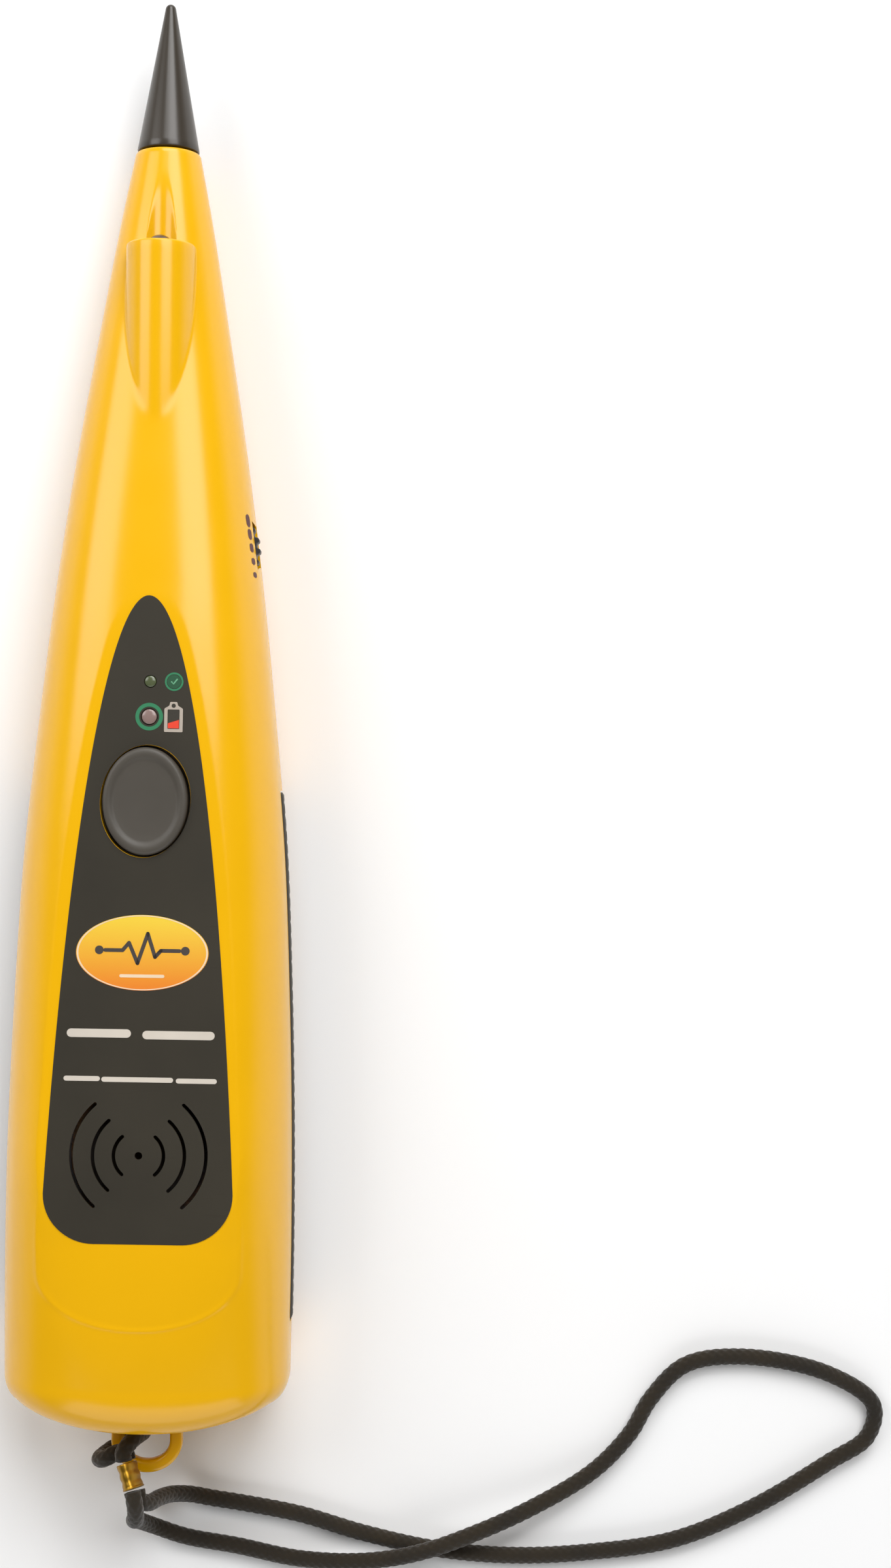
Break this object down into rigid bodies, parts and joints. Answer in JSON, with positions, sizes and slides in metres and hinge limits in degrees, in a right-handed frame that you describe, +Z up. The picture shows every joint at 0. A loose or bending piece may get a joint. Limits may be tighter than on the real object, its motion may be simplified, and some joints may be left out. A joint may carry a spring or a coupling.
{
  "type": "tone probe",
  "caption": "Handheld cable tracing tone probe with a tapering two-part case, a pointed tip, a torch, a push button, a volume wheel, a battery door and a wrist cord.",
  "frame": {"origin": "centre of the base of the bounding box of the probe without its cords: under the middle of its length, on the surface it lies on", "axes": "+Y along the probe from the base to the tip, +Z up out of the button face, +X to the right seen from the face"},
  "size_m": [0.1599, 0.2843, 0.0308],
  "materials": {
    "yellow_abs": "satin moulded yellow plastic",
    "black_rubber": "matte black rubber",
    "label_film": "matte charcoal film",
    "badge_ink": "satin yellow to orange ink",
    "tip_plastic": "semi-gloss black conductive plastic",
    "brass": "satin brass",
    "steel": "zinc plated steel",
    "copper": "tinned and bare copper wire",
    "board": "green solder mask",
    "dark_plastic": "black moulded plastic",
    "green_lens": "tinted diffused lens",
    "red_lens": "milky red diffused lens",
    "clear_lens": "smoky clear epoxy",
    "paper_cone": "coated paper",
    "foam": "closed cell foam",
    "battery_skin": "plain wrapped metal case",
    "red_wire": "red wire insulation",
    "black_wire": "black wire insulation",
    "cord": "braided black cord"
  },
  "bodies": {
    "case": {"front_shell": "yellow_abs", "back_shell": "yellow_abs", "lanyard_ring": "yellow_abs", "left_grip": "black_rubber", "right_grip": "black_rubber", "probe_tip": "tip_plastic", "tip_stud": "brass", "tip_nut": "brass", "cord_ferrule": "brass", "antenna_wire": "copper", "torch_lead_1": "copper", "torch_lead_2": "copper", "face_label": "label_film", "label_badge": "badge_ink", "tact_switch": "dark_plastic", "amplifier_chip": "dark_plastic", "filter_capacitor_1": "dark_plastic", "filter_capacitor_2": "dark_plastic", "torch_collar": "dark_plastic", "volume_pot": "dark_plastic", "battery_snap": "dark_plastic", "green_led": "green_lens", "red_led": "red_lens", "torch_led": "clear_lens", "main_board": "board", "speaker_frame": "steel", "speaker_magnet": "steel", "speaker_cone": "paper_cone", "speaker_gasket": "foam", "battery_foam": "foam", "speaker_lead_1": "red_wire", "speaker_lead_2": "black_wire", "battery": "battery_skin", "battery_lead_red": "red_wire", "battery_lead_black": "black_wire", "wrist_cord": "cord", "ring_cord": "cord", "case_screw_1": "steel", "case_screw_2": "steel", "case_screw_3": "steel", "case_screw_4": "steel", "case_screw_5": "steel", "case_screw_6": "steel", "board_screw_1": "steel", "board_screw_2": "steel", "board_screw_3": "steel"},
    "button": {"push_button": "black_rubber", "switch_plunger": "dark_plastic"},
    "wheel": {"volume_wheel": "dark_plastic", "wheel_screw": "steel"},
    "door": {"battery_door": "yellow_abs"}
  },
  "joints": [
    {"name": "button_press", "type": "slide", "parent": "case", "child": "button", "axis": [0, 0, -1], "range_m": [0, 0.001], "stiffness_N_per_m": 800},
    {"name": "volume_turn", "type": "hinge", "parent": "case", "child": "wheel", "pos_m": [0.01, 0.0334, 0.0137], "axis": [0, 0, 1], "range_deg": [-135, 135]},
    {"name": "door_swing", "type": "hinge", "parent": "case", "child": "door", "pos_m": [0, -0.111, 0.0016], "axis": [-1, 0, 0], "range_deg": [0, 90]}
  ]
}
